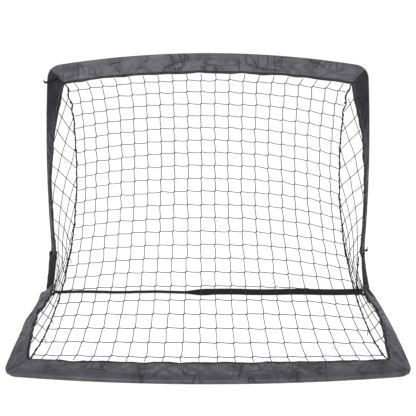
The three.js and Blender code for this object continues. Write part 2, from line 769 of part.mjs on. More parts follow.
addPair("rear_bar_rod", rearBarRod(), fibreglass);
add("rear_bar_ferrule", rearBarFerrule(), steel);
addPair("rear_elbow", rearElbow(), steel);
addPair("side_rod", sideRod(), fibreglass);
addPair("knee_lower_socket", kneeLowerSocket(), steel);
addPair("knee_pin", kneePin(), steel);
addPair("side_sleeve", sideSleeve(), sleeveFabric);
addPair("rear_corner_sleeve", rearCornerSleeve(), sleeveFabric);
add("rear_bar_sleeve", rearBarSleeve(), sleeveFabric);
add("goal_line_strap", goalLineStrap(), webbing);
addPair("knee_strap", kneeStrap(), webbing);
add("net_back", netBack(), netTwine);
addPair("net_side", netSide(), netTwine);
addPair("seam_cord", seamCord(), netTwine);

const bounds = new THREE.Box3().setFromObject(goal);
goal.position.y = -(bounds.min.y + bounds.max.y) / 2;

export default goal;
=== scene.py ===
import json
import math

import bmesh
import bpy
import numpy as np
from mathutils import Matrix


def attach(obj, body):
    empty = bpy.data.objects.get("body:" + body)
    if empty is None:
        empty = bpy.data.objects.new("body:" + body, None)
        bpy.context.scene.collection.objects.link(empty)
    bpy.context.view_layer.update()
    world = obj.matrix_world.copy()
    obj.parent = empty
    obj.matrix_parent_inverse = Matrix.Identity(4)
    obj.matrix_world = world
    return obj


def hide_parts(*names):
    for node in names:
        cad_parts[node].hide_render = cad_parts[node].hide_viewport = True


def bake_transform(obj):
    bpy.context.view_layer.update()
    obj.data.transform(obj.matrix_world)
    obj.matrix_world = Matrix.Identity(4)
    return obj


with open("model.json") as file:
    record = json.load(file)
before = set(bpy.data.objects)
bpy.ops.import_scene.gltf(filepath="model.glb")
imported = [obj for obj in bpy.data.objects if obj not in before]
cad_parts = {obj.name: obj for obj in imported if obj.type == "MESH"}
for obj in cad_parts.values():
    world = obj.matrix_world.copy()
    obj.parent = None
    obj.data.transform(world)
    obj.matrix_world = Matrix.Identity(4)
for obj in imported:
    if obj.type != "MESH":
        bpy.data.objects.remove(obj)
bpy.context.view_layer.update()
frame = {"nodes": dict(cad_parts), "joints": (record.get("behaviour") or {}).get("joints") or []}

KNEE = frame["joints"][0]["pos_m"]
FRONT, BASE = "front_frame", "base_frame"
MM = 0.001

# ---------- small maths ----------


def vec(x, y, z):
    return np.array([x, y, z], float)


def unit(v):
    v = np.asarray(v, float)
    return v / np.maximum(np.linalg.norm(v, axis=-1, keepdims=True), 1e-12)


def lerp(a, b, t):
    return a + (b - a) * t


def clamp(t, low=0.0, high=1.0):
    return min(max(t, low), high)


def smooth(t):
    t = np.clip(t, 0, 1)
    return t * t * (3 - 2 * t)


def distance_along(points):
    """The distance from the first of points to each of them, along them all."""
    return np.r_[0, np.cumsum(np.linalg.norm(np.diff(points, axis=0), axis=1))]


def place(points):
    """Layout millimetres to row-frame metres."""
    p = np.asarray(points, float) * MM
    return p + np.array([0, KNEE[1], 0])


def lattice(seed, size=64):
    return np.random.RandomState(seed).rand(size, size)


def noise(u, v, seed):
    """Smooth value noise from 0 to 1, with cells one unit wide."""
    grid = lattice(seed)
    n = len(grid)
    u, v = np.broadcast_arrays(np.asarray(u, float), np.asarray(v, float))
    iu, iv = np.floor(u).astype(int), np.floor(v).astype(int)
    fu, fv = smooth(u - iu), smooth(v - iv)
    a, b = grid[iu % n, iv % n], grid[(iu + 1) % n, iv % n]
    c, d = grid[iu % n, (iv + 1) % n], grid[(iu + 1) % n, (iv + 1) % n]
    return lerp(lerp(a, b, fu), lerp(c, d, fu), fv)


def creases(u, v, seed, sharp):
    """Narrow ridges, 1 on the ridge lines and near 0 between them."""
    return (1 - np.abs(2 * noise(u, v, seed) - 1)) ** sharp


# ---------- the frame's centre lines and hems, close to the CAD source's ----------

BAND = 63.5 # from the rod's centre to the sleeve's inner hem
POCKET_R = 8.0 # rod pocket of a sleeve, outside
CROWN_Z = 885.5 # crossbar rod, at mid span
ARCH, ARCH_X = 43, 540 # how much lower the crossbar rod is at ARCH_X
CROSSBAR_TILT = 67 # degrees that the crossbar's band slopes below horizontal
POST_WIDE, POST_WIDE_Z = 581.5, 300 # largest half width of the post rods above the flare
POST_LEAN, POST_LEAN_Z = 24, 500
FLARE, FLARE_TOP_Z, FLARE_REACH = 30, 200, 180 # outward flare of the posts towards the knees
POST_BAND_LOW, POST_BAND_TWIST = 15, 52 # degrees that the post's band turns in, and its twist
POST_TWIST_Z, POST_TWIST_REACH = 330, 460
BASE_Z = 7.4 # height of the ground frame's rods
SIDE_WIDE, SIDE_WIDE_Y, SIDE_BOW = 618.5, -300, 9
KNEE_TUCK, KNEE_TUCK_Y = 6, 80 # how far the side rods turn in at the knees
SIDE_BAND_LOW, SIDE_BAND_RISE = 16, 38 # degrees of the side band at the corner, and more in front
SIDE_BAND_SETTLE, SIDE_SETTLE_Y, SIDE_SETTLE_REACH = 8, -70, 100
SIDE_DIP, SIDE_DIP_Y, SIDE_DIP_REACH = 7, -170, 60 # a further dip that only the visual model has
SIDE_FALL_Y, SIDE_FALL_REACH = -350, 240
REAR_Y, REAR_BOW, REAR_BOW_X = -688.5, 43, 578
REAR_BAND_MID, REAR_BAND_DROP = 27, 11
TOP_BEND, REAR_BEND = 41.0, 40.0 # length of the corner bends along each member
TOP_CORNER_X, REAR_CORNER_X = 555.5, 608.5
TOP_HEM_X, REAR_HEM_X = 500.5, 549.5


def arch_z(x):
    return CROWN_Z - ARCH * (x / ARCH_X) ** 2


def post_x(z):
    leaned = POST_LEAN * ((z - POST_WIDE_Z) / POST_LEAN_Z) ** 2
    return POST_WIDE - leaned + FLARE * max(0.0, (FLARE_TOP_Z - z) / FLARE_REACH) ** 1.5


def side_x(y):
    bowed = SIDE_BOW * ((y - SIDE_WIDE_Y) / SIDE_WIDE_Y) ** 2
    return SIDE_WIDE - bowed - KNEE_TUCK * max(0.0, (y + KNEE_TUCK_Y) / KNEE_TUCK_Y) ** 2


def rear_y(x):
    return REAR_Y + REAR_BOW * (x / REAR_BOW_X) ** 2


def crossbar_point(x):
    return vec(x, 0, arch_z(x))


def post_point(z):
    return vec(post_x(z), 0, z)


def side_point(y):
    return vec(side_x(y), y, BASE_Z)


def rear_point(x):
    return vec(x, rear_y(x), BASE_Z)


def post_hem(z):
    twist = POST_BAND_TWIST * clamp((z - POST_TWIST_Z) / POST_TWIST_REACH) ** 2.5
    turn = math.radians(POST_BAND_LOW + twist)
    return post_point(z) + vec(-BAND * math.sin(turn), -BAND * math.cos(turn), 0)


def crossbar_hem(x):
    tilt = math.radians(CROSSBAR_TILT)
    return crossbar_point(x) + vec(0, -BAND * math.cos(tilt), -BAND * math.sin(tilt))


def side_hem(y):
    settled = SIDE_BAND_SETTLE * clamp((SIDE_SETTLE_Y - y) / SIDE_SETTLE_REACH)
    settled += SIDE_DIP * math.exp(-((y - SIDE_DIP_Y) / SIDE_DIP_REACH) ** 2)
    fall = clamp((SIDE_FALL_Y - y) / SIDE_FALL_REACH)
    rise = math.radians(SIDE_BAND_LOW + (SIDE_BAND_RISE - settled) * (1 - fall ** 1.5))
    return side_point(y) + vec(-BAND * math.cos(rise), 0, BAND * math.sin(rise))


def rear_hem(x):
    rise = math.radians(REAR_BAND_MID - REAR_BAND_DROP * (x / REAR_HEM_X) ** 2)
    return rear_point(x) + vec(0, BAND * math.cos(rise), BAND * math.sin(rise))


TOP_CORNER = vec(TOP_CORNER_X, 0, arch_z(TOP_CORNER_X))
TOP_BEND_X = TOP_CORNER[0] - TOP_BEND
TOP_BEND_Z = TOP_CORNER[2] - TOP_BEND
REAR_CORNER = vec(REAR_CORNER_X, rear_y(REAR_CORNER_X), BASE_Z)
REAR_BEND_X = REAR_CORNER[0] - REAR_BEND
REAR_BEND_Y = REAR_CORNER[1] + REAR_BEND
TOP_HEM = crossbar_hem(TOP_HEM_X)
REAR_HEM = rear_hem(REAR_HEM_X)


def bezier(a, b, c, t):
    return a * (1 - t) ** 2 + b * 2 * t * (1 - t) + c * t * t


def top_bend(t):
    return bezier(crossbar_point(TOP_BEND_X), TOP_CORNER, post_point(TOP_BEND_Z), t)


def rear_bend(t):
    return bezier(side_point(REAR_BEND_Y), REAR_CORNER, rear_point(REAR_BEND_X), t)


SEAM_SAG, BACK_SAG = 183, 146
SEAM_NECK, NECK_POWER = 54, 0.6 # how far the seams pull in, and how evenly along their height


def sagged(a, b, t, sag):
    chord = unit(vec(0, b[1] - a[1], b[2] - a[2]))
    return lerp(a, b, t) + vec(0, -chord[2], chord[1]) * sag * 4 * t * (1 - t)


def seam_point(t):
    p = sagged(TOP_HEM, REAR_HEM, t, SEAM_SAG)
    p[0] -= SEAM_NECK * (4 * t * (1 - t)) ** NECK_POWER
    return p


def back_point(s, t):
    middle = sagged(crossbar_hem(0), rear_hem(0), t, BACK_SAG)
    edge = seam_point(t)
    share = s * s
    return vec(s * edge[0], lerp(middle[1], edge[1], share), lerp(middle[2], edge[2], share))


def spline(points, count):
    """Points at even distances on a Catmull-Rom curve through points."""
    p = np.array([2 * points[0] - points[1], *points, 2 * points[-1] - points[-2]], float)
    fine = []
    for i in range(1, len(p) - 2):
        for t in np.linspace(0, 1, 24, endpoint=False):
            a, b, c, d = p[i - 1], p[i], p[i + 1], p[i + 2]
            fine.append(0.5 * (2 * b + (c - a) * t + (2 * a - 5 * b + 4 * c - d) * t * t
                               + (3 * b - a - 3 * c + d) * t ** 3))
    fine = np.array([*fine, p[-2]])
    run = distance_along(fine)
    at = np.linspace(0, run[-1], count)
    return np.stack([np.interp(at, run, fine[:, k]) for k in range(3)], axis=1)


OUTER_EDGE = spline([post_hem(z) for z in (745, 640, 540, 440, 340, 250, 175)]
                    + [vec(557, -70, 125), vec(562, -90, 82)]
                    + [side_hem(y) for y in (-130, -200, -290, -380, -460, -540)], 400)
SIDE_END = 0.045 # share of the seam left out at each end, where the side net narrows to nothing


def edge_point(v):
    at = clamp((v - SIDE_END) / (1 - 2 * SIDE_END)) * (len(OUTER_EDGE) - 1)
    i = min(int(at), len(OUTER_EDGE) - 2)
    return lerp(OUTER_EDGE[i], OUTER_EDGE[i + 1], at - i)


def side_panel(u, v):
    """The right-hand side net, from the seam (u = 0) to the frame's hems (u = 1)."""
    return lerp(seam_point(v), edge_point(v), u)


# ---------- materials ----------


class Nodes:
    """A material's node tree, with short calls to add nodes and links."""

    def __init__(self, name, **uniform):
        self.material = bpy.data.materials.new(name)
        self.material.use_nodes = True
        self.tree = self.material.node_tree
        self.shader = self.tree.nodes["Principled BSDF"]
        for socket, value in uniform.items():
            self.shader.inputs[socket.replace("_", " ")].default_value = value

    def add(self, kind, inputs=(), **settings):
        node = self.tree.nodes.new("ShaderNode" + kind)
        for key, value in settings.items():
            setattr(node, key, value)
        for socket, value in dict(inputs).items():
            self.feed(node.inputs[socket], value)
        return node

    def feed(self, socket, value):
        if hasattr(value, "is_output"):
            self.tree.links.new(value, socket)
        else:
            socket.default_value = value

    def maths(self, operation, a, b=0.0):
        return self.add("Math", {0: a, 1: b}, operation=operation).outputs[0]

    def ramp(self, fac, stops):
        node = self.add("ValToRGB", {"Fac": fac})
        elements = node.color_ramp.elements
        for i, (at, color) in enumerate(stops):
            element = elements[i] if i < 2 else elements.new(at)
            element.position, element.color = at, (*color, 1)
        return node.outputs["Color"]

    def noise(self, vector, scale, detail=3.0):
        node = self.add("TexNoise", {"Vector": vector, "Scale": scale, "Detail": detail})
        return node.outputs["Fac"]

    def stretch(self, vector, scale, turn=0.0):
        node = self.add("Mapping", {"Vector": vector, "Scale": scale, "Rotation": (0, 0, turn)})
        return node.outputs["Vector"]

    def wave(self, vector, scale, direction):
        node = self.add("TexWave", {"Vector": vector, "Scale": scale, "Distortion": 0.0},
                        wave_type="BANDS", bands_direction=direction)
        return node.outputs["Fac"]

    def bump(self, height, distance, strength=1.0, under=None):
        inputs = {"Height": height, "Distance": distance, "Strength": strength}
        if under is not None:
            inputs["Normal"] = under
        return self.add("Bump", inputs).outputs["Normal"]

    def finish(self, color=None, roughness=None, normal=None):
        for socket, value in (("Base Color", color), ("Roughness", roughness), ("Normal", normal)):
            if value is not None:
                self.feed(self.shader.inputs[socket], value)
        return self.material


# Wave textures repeat every 2 pi / 20 / scale units, so this scale gives one band per pitch.
def per(pitch):
    return 2 * math.pi / 20 / pitch


def woven(name, dark, light, pitch, roughness, sheen, tint, crease=0.0, gloss=0.15):
    """Plain-weave cloth. UVs are in metres along and across the piece. crease is how much painted shade
    darkens the narrow crease lines.
    """
    m = Nodes(name, Sheen_Weight=sheen, Sheen_Roughness=0.42, Sheen_Tint=(*tint, 1),
              Specular_IOR_Level=gloss)
    uv = m.add("TexCoord").outputs["UV"]
    where = m.add("TexCoord").outputs["Object"]
    warp = m.wave(uv, per(pitch), "X")
    weft = m.wave(uv, per(pitch * 0.92), "Y")
    check = m.maths("MULTIPLY", warp, weft)
    cloudy = m.noise(where, 14.0)
    slub = m.noise(m.stretch(uv, (60, 900, 1)), 1.0)
    mixed = m.maths("ADD", m.maths("MULTIPLY", cloudy, 0.62), m.maths("MULTIPLY", slub, 0.22))
    tone = m.maths("ADD", mixed, m.maths("MULTIPLY", check, 0.14))
    ridge = None
    for scale, turn in (((10, 34, 1), 0.5), ((30, 11, 1), -0.9)):
        veins = m.maths("SUBTRACT", m.noise(m.stretch(uv, scale, turn), 1.0, 0.0), 0.5)
        line = m.maths("POWER", m.maths("SUBTRACT", 1.0, m.maths("ABSOLUTE", veins)), 30.0)
        ridge = line if ridge is None else m.maths("MAXIMUM", ridge, line)
    patches = m.maths("MULTIPLY", m.maths("SUBTRACT", m.noise(where, 16.0, 0.0), 0.42), 5.0)
    ridge = m.maths("MULTIPLY", ridge, m.maths("MINIMUM", m.maths("MAXIMUM", patches, 0.0), 1.0))
    # painted shade: the crease lines darken the colour by crease, as shade in the fold troughs
    tone = m.maths("SUBTRACT", tone, m.maths("MULTIPLY", ridge, crease))
    color = m.ramp(tone, [(0.22, dark), (0.70, light)])
    rough = m.maths("ADD", roughness, m.maths("MULTIPLY", cloudy, 0.16))
    folds = m.bump(m.noise(m.stretch(uv, (40, 16, 1), 0.6), 1.0, 4.0), 0.0012, 0.55)
    folds = m.bump(ridge, 0.0030, 0.8, folds)
    return m.finish(color, rough, m.bump(check, pitch * 0.22, 0.7, folds))


def ribbed(name, dark, light, pitch):
    """Webbing, with ribs across its length."""
    m = Nodes(name, Sheen_Weight=0.04, Sheen_Roughness=0.5, Specular_IOR_Level=0.12)
    uv = m.add("TexCoord").outputs["UV"]
    ribs = m.wave(uv, per(pitch), "X")
    ends = m.wave(uv, per(pitch * 1.6), "Y")
    fuzz = m.noise(uv, 900.0)
    tone = m.maths("ADD", m.maths("MULTIPLY", ribs, 0.4), m.maths("MULTIPLY", fuzz, 0.6))
    rough = m.maths("ADD", 0.62, m.maths("MULTIPLY", fuzz, 0.25))
    height = m.maths("ADD", ribs, m.maths("MULTIPLY", ends, 0.45))
    return m.finish(m.ramp(tone, [(0.2, dark), (0.85, light)]), rough,
                    m.bump(height, pitch * 0.3, 0.8))


def twisted(name, dark, light, turns):
    """Laid twine. U runs once round the thread and V is metres along it."""
    m = Nodes(name, Specular_IOR_Level=0.2)
    uv = m.add("TexCoord").outputs["UV"]
    lay = m.wave(m.stretch(uv, (1, turns, 1)), per(1 / 3), "DIAGONAL")
    fuzz = m.noise(m.stretch(uv, (6, 2500, 1)), 1.0)
    tone = m.maths("ADD", m.maths("MULTIPLY", lay, 0.45), m.maths("MULTIPLY", fuzz, 0.55))
    rough = m.maths("ADD", 0.66, m.maths("MULTIPLY", fuzz, 0.22))
    return m.finish(m.ramp(tone, [(0.15, dark), (0.9, light)]), rough,
                    m.bump(lay, 0.0004, 0.7))


def metal(name, base, roughness):
    m = Nodes(name, Metallic=1.0)
    where = m.add("TexCoord").outputs["Object"]
    spots = m.noise(where, 220.0)
    brushed = m.noise(m.stretch(where, (900, 60, 900)), 1.0)
    tone = m.ramp(spots, [(0.3, [c * 0.8 for c in base]), (0.7, base)])
    return m.finish(tone, m.maths("ADD", roughness, m.maths("MULTIPLY", brushed, 0.25)),
                    m.bump(brushed, 0.0001, 0.4))


def pultruded(name, dark, light):
    m = Nodes(name, Coat_Weight=0.15, Coat_Roughness=0.3)
    where = m.add("TexCoord").outputs["Object"]
    fibres = m.noise(m.stretch(where, (700, 700, 700)), 1.0)
    return m.finish(m.ramp(fibres, [(0.3, dark), (0.7, light)]),
                    m.maths("ADD", 0.3, m.maths("MULTIPLY", fibres, 0.3)),
                    m.bump(fibres, 0.0002, 0.4))


CLOTH_TINT, TAPE_TINT = (0.75, 0.76, 0.85), (0.7, 0.7, 0.75)
FABRIC = woven("sleeve_cloth", (0.020, 0.020, 0.025), (0.094, 0.094, 0.112), 0.0011, 0.36,
               0.16, CLOTH_TINT, crease=0.24, gloss=0.42)
# painted shade: the sleeve cloth again, in darker colours, for the posts' sideways-facing bands that the
# light misses
POST_SHADED_FABRIC = woven("post_cloth_painted_shade", (0.006, 0.006, 0.008), (0.034, 0.034, 0.042), 0.0011, 0.34,
                    0.06, CLOTH_TINT, crease=0.10)
# painted shade: darker cloth for the hem faces, where the band curves back under, away from the light
HEM_SHADED_FABRIC = woven("hem_cloth_painted_shade", (0.010, 0.010, 0.013), (0.034, 0.034, 0.042), 0.0011, 0.42,
                   0.06, CLOTH_TINT, crease=0.10)
BINDING = woven("binding_tape", (0.007, 0.007, 0.008), (0.020, 0.020, 0.023), 0.0014, 0.55,
                0.08, TAPE_TINT)
GUSSET_CLOTH = woven("gusset_cloth", (0.006, 0.006, 0.007), (0.020, 0.020, 0.022), 0.0022, 0.6,
                     0.1, TAPE_TINT)
WEBBING = ribbed("webbing_black", (0.006, 0.006, 0.007), (0.022, 0.022, 0.024), 0.0016)
TWINE = twisted("net_twine_black", (0.010, 0.010, 0.011), (0.036, 0.036, 0.039), 260)
CORD = twisted("seam_cord_black", (0.005, 0.005, 0.006), (0.020, 0.020, 0.022), 150)
THREAD = twisted("sewing_thread_grey", (0.16, 0.16, 0.17), (0.30, 0.30, 0.32), 900)
STEEL = metal("zinc_plate", (0.55, 0.56, 0.58), 0.3)
ROD = pultruded("fibreglass_black", (0.010, 0.010, 0.011), (0.028, 0.028, 0.030))

# ---------- mesh building ----------


class Shape:
    """Gathers vertices, quads or triangles and their UVs, in layout millimetres."""

    def __init__(self):
        self.points, self.faces, self.uvs, self.count = [], [], [], 0

    def add(self, points, faces, uvs):
        """faces index into points, and uvs holds one pair per face corner."""
        self.points.append(np.asarray(points, float).reshape(-1, 3))
        self.faces += [tuple(i + self.count for i in face) for face in faces]
        self.uvs.append(np.asarray(uvs, float).reshape(-1, 2))
        self.count += len(self.points[-1])

    def grid(self, rings, u, v):
        """A tube through rings (stations, points round, 3). u is per station and v per point round."""
        n, m = rings.shape[:2]
        faces, uvs = [], []
        for i in range(n - 1):
            for j in range(m):
                k = (j + 1) % m
                faces.append((i * m + j, i * m + k, (i + 1) * m + k, (i + 1) * m + j))
                uvs += [(u[i], v[j]), (u[i], v[j + 1]), (u[i + 1], v[j + 1]), (u[i + 1], v[j])]
        for first, flipped in ((0, True), ((n - 1) * m, False)):
            for j in range(m // 2 - 1):
                face = (first + j, first + j + 1, first + m - 2 - j, first + m - 1 - j)
                if j == m // 2 - 1 - (m % 2 == 0):
                    continue
                faces.append(face[::-1] if flipped else face)
                uvs += [(0, 0), (0.002, 0), (0.002, 0.002), (0, 0.002)]
        self.add(rings.reshape(-1, 3), faces, uvs)

    def tube(self, points, radius, sides):
        """A round thread along points, which may taper."""
        points = np.asarray(points, float)
        radius = np.broadcast_to(np.asarray(radius, float), (len(points),))
        ways = unit(np.gradient(points, axis=0))
        run = distance_along(points) * MM
        side = np.cross(ways[0], vec(0.31, 0.17, 0.93))
        rings = np.empty((len(points), sides, 3))
        around = 2 * math.pi * np.arange(sides) / sides
        for i, way in enumerate(ways):
            side = unit(side - way * (side @ way))
            up = np.cross(way, side)
            rings[i] = points[i] + radius[i] * (np.outer(np.cos(around), side)
                                                + np.outer(np.sin(around), up))
        self.grid(rings, run, np.linspace(0, 1, sides + 1))
        return self

    def make(self, name, material):
        mesh = bpy.data.meshes.new(name)
        mesh.from_pydata(place(np.vstack(self.points)).tolist(), [], self.faces)
        layer = mesh.uv_layers.new(name="UVMap")
        layer.data.foreach_set("uv", np.vstack(self.uvs).astype(np.float32).ravel())
        mesh.polygons.foreach_set("use_smooth", [True] * len(mesh.polygons))
        mesh.materials.append(material)
        mesh.update()
        piece = bpy.data.objects.new(name, mesh)
        bpy.context.scene.collection.objects.link(piece)
        return piece

    def mirror(self):
        """The same shape on the other side of x = 0."""
        other = Shape()
        other.points = [p * [-1, 1, 1] for p in self.points]
        other.faces = [face[::-1] for face in self.faces]
        corners = np.vstack(self.uvs)
        flipped, at = [], 0
        for face in self.faces:
            flipped.append(corners[at:at + len(face)][::-1])
            at += len(face)
        other.uvs = [np.vstack(flipped)]
        other.count = self.count
        return other


# ---------- fold weights, and pieces baked in place ---

# Weights are given or fitted as straight-line functions F(y, z) of the layout position, whose smoothstep
# would be the share of the fold that a point takes. blend_by takes them but only bakes each piece in place.


def blend_by(piece, gradient, offset):
    """Bakes piece's transform into its mesh and returns it; it does not bend the piece."""
    gradient = np.asarray(gradient, float)
    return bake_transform(piece)


POST_FLAT = 0.0042 # how quickly a post's band falls behind its rod, per mm
POST_FREE = -10.0 # the band in front of this y goes all the way with its rod


def fold_front(piece):
    return blend_by(piece, (0, POST_FLAT, 0), 1 - POST_FLAT * POST_FREE)


SIDE_FOLD = (0, 0.0006, 0.0074)
SIDE_STILL = (-32, 16) # the (y, z) that stays with the ground frame
SIDE_OFFSET = -SIDE_FOLD[2] * SIDE_STILL[1] - SIDE_FOLD[1] * SIDE_STILL[0]


def fold_side(piece):
    return blend_by(piece, SIDE_FOLD, SIDE_OFFSET)


CHORD_FROM, CHORD_TO = rear_hem(0), crossbar_hem(0)
CHORD_SHARE = 0.937
CHORD = (CHORD_TO - CHORD_FROM) / CHORD_SHARE
CHORD_GRADIENT = CHORD / (CHORD @ CHORD)
CHORD_OFFSET = -CHORD_FROM @ CHORD_GRADIENT


def fold_back(piece):
    return blend_by(piece, CHORD_GRADIENT, CHORD_OFFSET)


def front_share(p):
    return clamp(1 - POST_FLAT * (POST_FREE - p[1]))


def side_share(p):
    return clamp(p @ np.array(SIDE_FOLD) + SIDE_OFFSET)


def chord_share(p):
    return clamp(p @ CHORD_GRADIENT + CHORD_OFFSET)


# ---------- sleeves ----------

HEM_WIDE = 9.0
STATION = 3.8 # between the sections of a sleeve
FLARE_FADE, SECOND_FLARE_AT, SECOND_FLARE = 60, 255, 0.5


def smoothed(values, passes):
    values = np.array(values, float)
    for _ in range(passes):
        values[1:-1] = (values[:-2] + 2 * values[1:-1] + values[2:]) / 4
    return values


def half_outline(length):
    """One face of a sleeve's section, from the hem's edge to the pocket's far side: (along, height)."""
    hem = [(0, 0.35), (-0.7, 1.35), (-2.4, 1.95), (-5.2, 2.0), (-7.6, 1.75), (-HEM_WIDE, 0.95),
           (-HEM_WIDE - 1.2, 1.35), (-HEM_WIDE - 3.4, 1.55)]
    start, end = length - HEM_WIDE - 7, 22.0
    band = [(lerp(start, end, t), lerp(1.5, 1.9, t)) for t in np.linspace(0, 1, 7)]
    neck = [(17.5, 2.9), (13.0, 4.7), (9.0, 6.3)]
    pocket = [(POCKET_R * math.cos(a), POCKET_R * math.sin(a))
              for a in np.radians([58, 78, 98, 118, 138, 158, 172])]
    return np.array([(length + a, b) for a, b in hem] + band + neck + pocket)


LEAST_SLANT = 0.4 # so that no tuck runs straight across the band
HEM_GROOVE = 5 # the outline's point that lies in the hem's stitch line


def sleeve(stations, normal, seed, rough=1.0, flare=0.0, slump=0.0):
    """A doubled fabric band with a rod pocket. Returns the shape and its rings.

    flare pushes the pocket outwards near the first end, and slump pushes it to the rear all along.
    """
    centres = np.array([c for c, _ in stations])
    hems = np.array([h for _, h in stations])
    ways = unit(np.gradient(centres, axis=0))
    middles = (centres + hems) / 2
    run = distance_along(middles)
    rings, round_length = [], None
    tuck = np.random.RandomState(seed)
    tucks = [(tuck.uniform(0, run[-1]), tuck.uniform(26, 50), tuck.uniform(-1.9, 1.1), tuck.uniform(11, 24),
              tuck.uniform(1.5, 4.0)) for _ in range(int(run[-1] / 24))]
    for i, centre in enumerate(centres):
        along = hems[i] - centre
        length = np.linalg.norm(along)
        along = along / length
        across = unit(normal - along * (normal @ along))
        if np.cross(ways[i], along) @ across < 0:
            across = -across
        half = half_outline(length)
        a, b = half[:, 0], half[:, 1]
        s = run[i]
        end = smooth(min(s, run[-1] - s) / 14) * 0.75 + 0.25
        free = smooth((a - 9) / 16) * smooth((length + 2 - a) / 12 + 0.28)
        sway = (noise((s + 0.7 * a) / 52, a / 70, seed) - 0.5) * 7.6
        sway = sway + (noise((s - 1.1 * a) / 23, a / 34, seed + 1) - 0.5) * 4.4
        sway = sway * free * end * rough
        crisp = np.zeros(len(a))
        for at, mid, slant, reach, deep in tucks:
            slant += math.copysign(LEAST_SLANT, slant)
            near = np.exp(-(((s - at) - (a - mid) * slant) / 4.2) ** 2)
            crisp += deep * near * np.exp(-((a - mid) / reach) ** 2)
        rows = []
        for face, side in ((0, 1), (1, -1)):
            fold = creases((s + 1.3 * a) / 46, a / 90, seed + 2 + face, 5) * 3.2
            fold = fold + creases((s - 1.6 * a) / 37, a / 70, seed + 4 + face, 6) * 2.4
            fine = creases((s + 0.5 * a) / 15, a / 40, seed + 6 + face, 5) * 0.9
            lift = (fold + fine - crisp) * free * rough * end
            pucker = 0.45 * np.exp(-((length - a - HEM_WIDE - 2.5) / 3.0) ** 2)
            lift = lift + pucker * (1 + math.sin(s * 0.9 + 2 * noise(s / 9, 0, seed + 8)))
            soft = (noise(s / 13, a / 7, seed + 9 + face) - 0.5) * 0.7 * (a < 20)
            height = side * (b + lift + soft) + sway
            wave = (noise(s / 38, 3, seed + 11) - 0.5) * 4.4 * smooth((a - length + 20) / 20) * end
            row = centre + np.outer(a + wave, along) + np.outer(height, across)
            loose = math.exp(-(s / FLARE_FADE) ** 2)
            loose += SECOND_FLARE * math.exp(-((s - SECOND_FLARE_AT) / FLARE_FADE) ** 2)
            loose *= smooth(s / 6)
            row[:, 0] += math.copysign(flare * loose, centre[0]) * smooth((8 - a) / 14)
            row[:, 1] -= slump * end * smooth((8 - a) / 14)
            rows.append(row)
        ring = np.vstack([rows[0], rows[1][::-1]])
        ring[:, 2] = np.maximum(ring[:, 2], 0.0)
        rings.append(ring)
        if round_length is None:
            round_length = distance_along(np.vstack([ring, ring[:1]]))
    rings = np.array(rings)
    turned = np.cross(ways[0], rings[0][0] - centres[0]) @ (rings[0][4] - rings[0][-5])
    shape = Shape()
    if turned > 0:
        shape.grid(rings[:, ::-1], run * MM, (round_length[-1] - round_length[::-1]) * MM)
    else:
        shape.grid(rings, run * MM, round_length * MM)
    return shape, rings


STITCH_RAISED, STITCH_R = 0.45, 0.42


def stitches(rings, index):
    """A row of stitches on both faces of a sleeve, along the outline's point of that index."""
    shape = Shape()
    for point, beside in ((index, index + 1), (-1 - index, -2 - index)):
        for i in range(2, len(rings) - 3):
            a, b = rings[i][point], rings[i + 1][point]
            out = unit(np.cross(b - a, rings[i][beside] - a))
            if out @ (rings[i][point] - rings[i][-1 - point if point >= 0 else -point - 1]) < 0:
                out = -out
            path = [lerp(a, b, t) + out * lift for t, lift in
                    ((0.08, -0.2), (0.2, STITCH_RAISED), (0.5, STITCH_RAISED + 0.15),
                     (0.8, STITCH_RAISED), (0.92, -0.2))]
            shape.tube(path, [0.2, STITCH_R, STITCH_R, STITCH_R, 0.2], 5)
    return shape


PIPING_R = 1.0


def piping(ring):
    """A seam's ridge round a sleeve's end."""
    shape = Shape()
    loop = np.vstack([ring, ring[:2]])
    shape.tube(loop, PIPING_R, 5)
    return shape


def stretch(rod_at, hem_at, rod_from, rod_to, hem_from, hem_to):
    count = max(4, int(abs(rod_to - rod_from) / STATION))
    return [(rod_at(lerp(rod_from, rod_to, t)), hem_at(lerp(hem_from, hem_to, t)))
            for t in np.linspace(0, 1, count + 1)]


MITRE_STEPS = 9
CREEP = 3.6


def mitre(bend, end, hem_at):
    """Stations of half a corner bend, from its mitre to where the member runs straight."""
    return [(bend(lerp(0.5, end, t)), hem_at(CREEP * t + 0.15)) for t in np.linspace(0, 1, MITRE_STEPS)]


def flip(stations):
    return [(c * [-1, 1, 1], h * [-1, 1, 1]) for c, h in stations]


Y_AXIS, Z_AXIS = vec(0, 1, 0), vec(0, 0, 1)
CLEAR = 5.0
HEM_START = CREEP + 5.0

crossbar_mitre = mitre(top_bend, 0.0, lambda d: crossbar_hem(TOP_HEM_X - d))
post_mitre = mitre(top_bend, 1.0, lambda d: post_hem(TOP_HEM[2] - d))
side_mitre = mitre(rear_bend, 0.0, lambda d: side_hem(REAR_HEM[1] + d))
rear_mitre = mitre(rear_bend, 1.0, lambda d: rear_hem(REAR_HEM_X - d))

crossbar_stations = (
    flip(crossbar_mitre)
    + stretch(crossbar_point, crossbar_hem, -TOP_BEND_X + CLEAR, TOP_BEND_X - CLEAR,
              -TOP_HEM_X + HEM_START, TOP_HEM_X - HEM_START)
    + crossbar_mitre[::-1]
)
rear_stations = (
    flip(rear_mitre)
    + stretch(rear_point, rear_hem, -REAR_BEND_X + CLEAR, REAR_BEND_X - CLEAR,
              -REAR_HEM_X + HEM_START, REAR_HEM_X - HEM_START)
    + rear_mitre[::-1]
)
SLEEVE_FOOT_Z = 160 # lower end of the post sleeves
SIDE_SLEEVE_Y = -32 # front end of the side sleeves
CORNER_SEAM_FRONT, CORNER_SEAM_BACK = -399.8, -400.2 # seam between side sleeve and rear corner sleeve
GATHER, GATHER_REACH = 0.66, 60 # how much of its width the side sleeve keeps at the knee
post_stations = post_mitre + stretch(post_point, post_hem, TOP_BEND_Z - CLEAR, SLEEVE_FOOT_Z,
                                     TOP_HEM[2] - HEM_START, SLEEVE_FOOT_Z)
